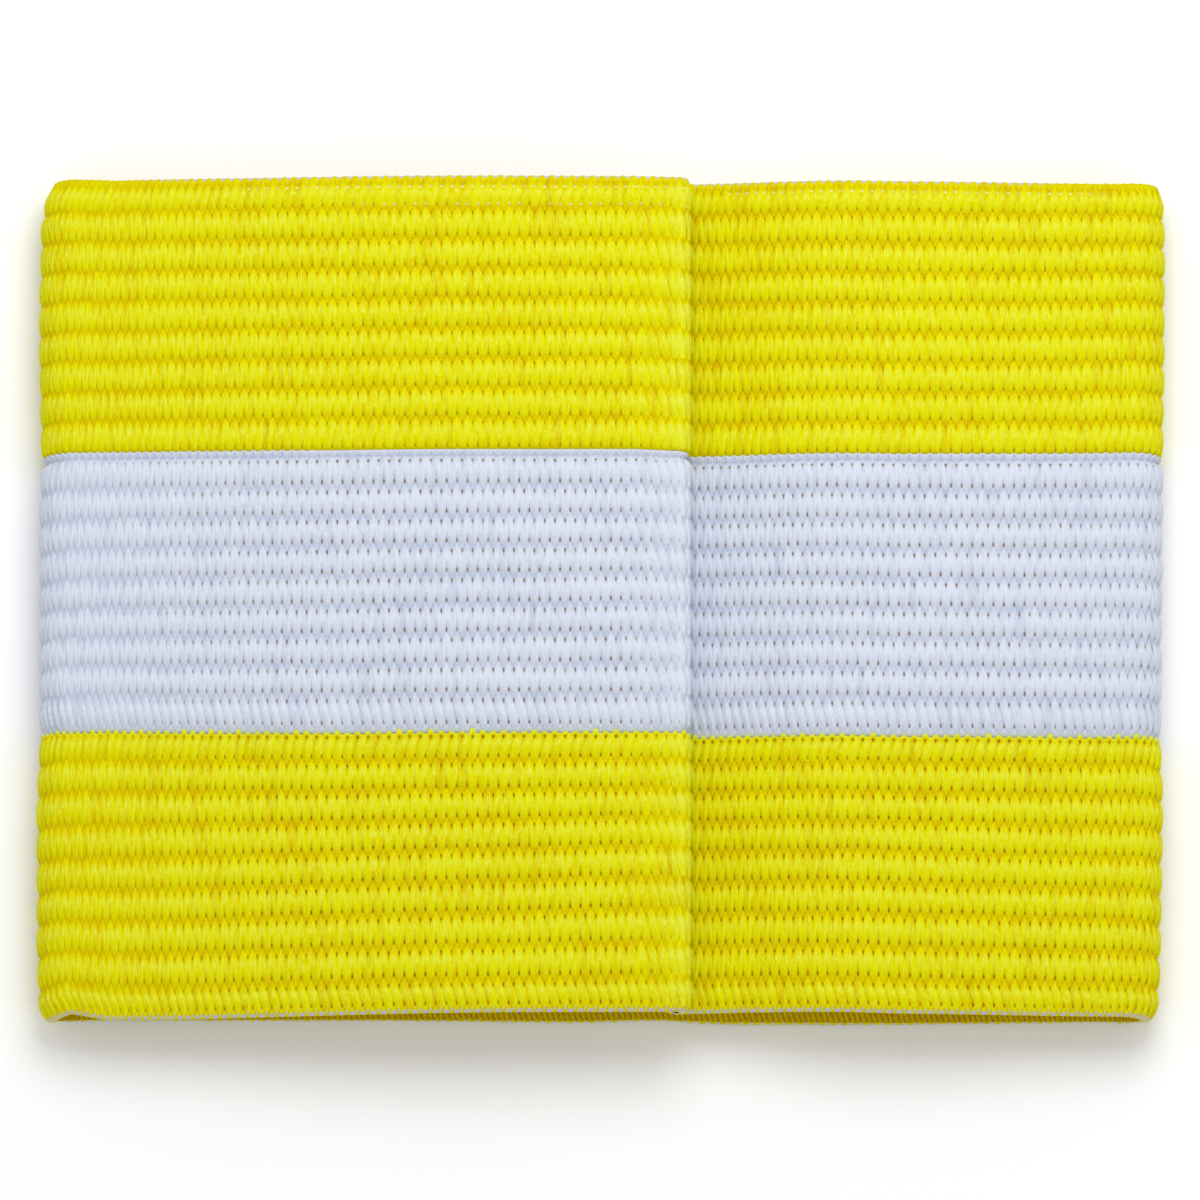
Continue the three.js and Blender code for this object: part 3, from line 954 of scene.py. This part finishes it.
def yarn_material(name, looks, bright, plain, deep, hole):
    """Knitted yarn. It has a painted highlight on the stitches' rounded tops, painted shade in the
    grooves, on the lines between legs and on the inner face, and is dark in the pointed holes, partly
    with painted shade. Each leg has a tone of its own and fine filaments, the edges' pale thread lies
    over all, and painted light comes through the lit holes."""
    material = bpy.data.materials.new(name)
    n = Knit(material)
    holes, tails = n.holes_and_tails()
    line = n.legs(tails)
    zigzag, beads = n.grooves()
    inside = n.times(n.ramp(n.row, 0.0, 0.02), n.ramp(n.row, RIBS, RIBS - 0.02))
    # The holes' dark, partly painted shade, the painted light where light comes through, and the inner face's
    # strokes.
    dark = n.times(holes, n.math("MAXIMUM", n.times(n.opened, inside), n.lit))
    dark = n.math("MAXIMUM", dark, n.strokes())

    # The painted highlight: on the upper part of each stitch's rounded top, and wherever the painted shade is
    # below 0.
    crown = n.math("MULTIPLY_ADD", n.wave(n.slid, 1), 0.45, 0.55)
    top = n.times(n.ramp(n.size(n.less(n.f, 0.34)), 0.32, 0.0), crown)
    painted_highlight = n.math("MAXIMUM", n.times(n.depth, -1.0), n.less(n.times(top, 0.7), n.depth))
    grain = n.math("MULTIPLY_ADD", n.inner, -2.5, -1.5)
    # The painted shade: from the depth, the groove's zigzag, the lines between legs and the knots along the
    # groove, with the legs' own tone, the filaments and the broad patches of tone, which are the yarn's,
    # mixed in.
    shade = n.times(n.depth, 0.45)
    for part, amount in ((zigzag, 0.28), (line, 0.5), (n.tone, -looks.tone_spread), (beads, -0.12)):
        shade = n.plus(shade, n.times(part, amount))
    shade = n.plus(shade, n.plus(n.times(n.fuzz, grain), n.times(n.patches, 0.5)))

    # The plain yarn is painted towards its highlight, then towards its shade, then the holes' dark and the
    # light through the lit holes, and last the edge thread.
    yarn = n.mix(n.clamp(n.plus(painted_highlight, n.times(n.fuzz, 4.5))), rgba(plain), rgba(bright))
    yarn = n.mix(n.clamp(shade), yarn, rgba(deep))
    yarn = n.mix(dark, yarn, n.mix(n.lit, rgba(hole), rgba(looks.light_through)))
    yarn = n.mix(n.ramp(n.pale, 0.4, 0.8), yarn, rgba(looks.thread))
    height = n.less(n.times(n.fuzz, 1.2), n.plus(n.times(zigzag, 0.3), n.times(line, 0.5)))
    bump = n.add("ShaderNodeBump", {"Height": height, "Strength": 0.6, "Distance": 0.08 * MM}).outputs[0]
    n.surface({"Base Color": yarn, "Normal": bump, "Roughness": 0.8, "Specular IOR Level": 0.03})
    return material


def floor_material(colour_value):
    """A matte pale floor."""
    material = bpy.data.materials.new("pale_floor")
    Nodes(material).surface({"Base Color": rgba(colour_value), "Roughness": 0.9, "Specular IOR Level": 0.1})
    return material


def settings():
    scene = bpy.context.scene
    return scene.armband_tape, scene.armband_loop, scene.armband_yarns, scene.armband_studio


class ARMBAND_OT_stripes(bpy.types.Operator):
    """Knits the three stripes of the band in place of the plain ones"""

    bl_idname = "armband.stripes"
    bl_label = "Knit the Stripes"

    def execute(self, context):
        tape, loop, looks, studio = settings()
        line = Tape(tape, loop)
        yarns = {}
        for dye in ("yellow", "white"):
            colours = (getattr(looks, dye + part) for part in ("_bright", "", "_deep", "_hole"))
            yarns[dye] = yarn_material(f"{dye}_yarn", looks, *colours)
        for key, stripe in STRIPES.items():
            points, faces, attributes = stripe_grid((tape, loop, line), stripe, studio.seed)
            made = mesh_of(f"{key}_stripe_knit", points, faces, attributes, yarns[stripe["yarn"]])
            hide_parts(f"{key}_stripe")
            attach(made, "root")
        return {"FINISHED"}


class ARMBAND_OT_stage(bpy.types.Operator):
    """Makes the pale floor, the soft lights and the camera"""

    bl_idname = "armband.stage"
    bl_label = "Set the Stage"

    def execute(self, context):
        scene = context.scene
        studio = scene.armband_studio
        corners = np.array([[-1, -1, 0], [1, -1, 0], [1, 1, 0], [-1, 1, 0]]) * FLOOR_REACH
        floor = mesh_of("floor", corners, [np.array([[0, 1, 2, 3]])], {}, floor_material(studio.floor))
        world = bpy.data.worlds.new("soft_sky")
        world.use_nodes = True
        background = world.node_tree.nodes["Background"]
        background.inputs["Color"].default_value = (1, 1, 1, 1)
        background.inputs["Strength"].default_value = studio.sky_strength
        scene.world = world
        scene.view_settings.view_transform = "Standard"
        self.lamp("key", Vector(KEY_PLACE), KEY_SIZE, studio.key_power)
        target = Vector((0, 0, TARGET_HEIGHT))
        away = Vector((0, -math.cos(studio.elevation), math.sin(studio.elevation)))
        camera = bpy.data.objects.new("camera", bpy.data.cameras.new("camera"))
        camera.data.sensor_width = SENSOR_WIDTH
        camera.data.lens = SENSOR_WIDTH * studio.distance / studio.view_width
        camera.data.clip_start = 10 * MM
        camera.location = target + away * studio.distance
        camera.rotation_euler = away.to_track_quat("Z", "Y").to_euler()
        scene.collection.objects.link(camera)
        scene.camera = camera
        return {"FINISHED"}

    def lamp(self, name, place, size, power):
        light = bpy.data.lights.new(name, "AREA")
        light.shape = "DISK"
        light.size = size
        light.energy = power
        lamp = bpy.data.objects.new(name, light)
        lamp.location = place
        lamp.rotation_euler = place.to_track_quat("Z", "Y").to_euler()
        bpy.context.scene.collection.objects.link(lamp)


class ARMBAND_PT_panel(bpy.types.Panel):
    """The armband's sizes, colours and pieces"""

    bl_label = "Captain Armband"
    bl_idname = "ARMBAND_PT_panel"
    bl_space_type = "VIEW_3D"
    bl_region_type = "UI"
    bl_category = "Armband"

    def draw(self, context):
        layout = self.layout
        for group in settings():
            box = layout.box()
            for name in group.bl_rna.properties.keys():
                if name not in ("rna_type", "name"):
                    box.prop(group, name)
        for operator in OPERATORS:
            layout.operator(operator.bl_idname)


GROUPS = {
    "armband_tape": TapeSizes,
    "armband_loop": LoopSizes,
    "armband_yarns": YarnLooks,
    "armband_studio": StudioLooks,
}
OPERATORS = (ARMBAND_OT_stripes, ARMBAND_OT_stage)


def register():
    for made in (*GROUPS.values(), *OPERATORS, ARMBAND_PT_panel):
        bpy.utils.register_class(made)
    for name, group in GROUPS.items():
        setattr(bpy.types.Scene, name, PointerProperty(type=group))


def unregister():
    for name in GROUPS:
        delattr(bpy.types.Scene, name)
    for made in (ARMBAND_PT_panel, *reversed(OPERATORS), *reversed(GROUPS.values())):
        bpy.utils.unregister_class(made)


def main():
    register()
    bpy.ops.armband.stripes()
    bpy.ops.armband.stage()


if __name__ == "__main__":
    main()
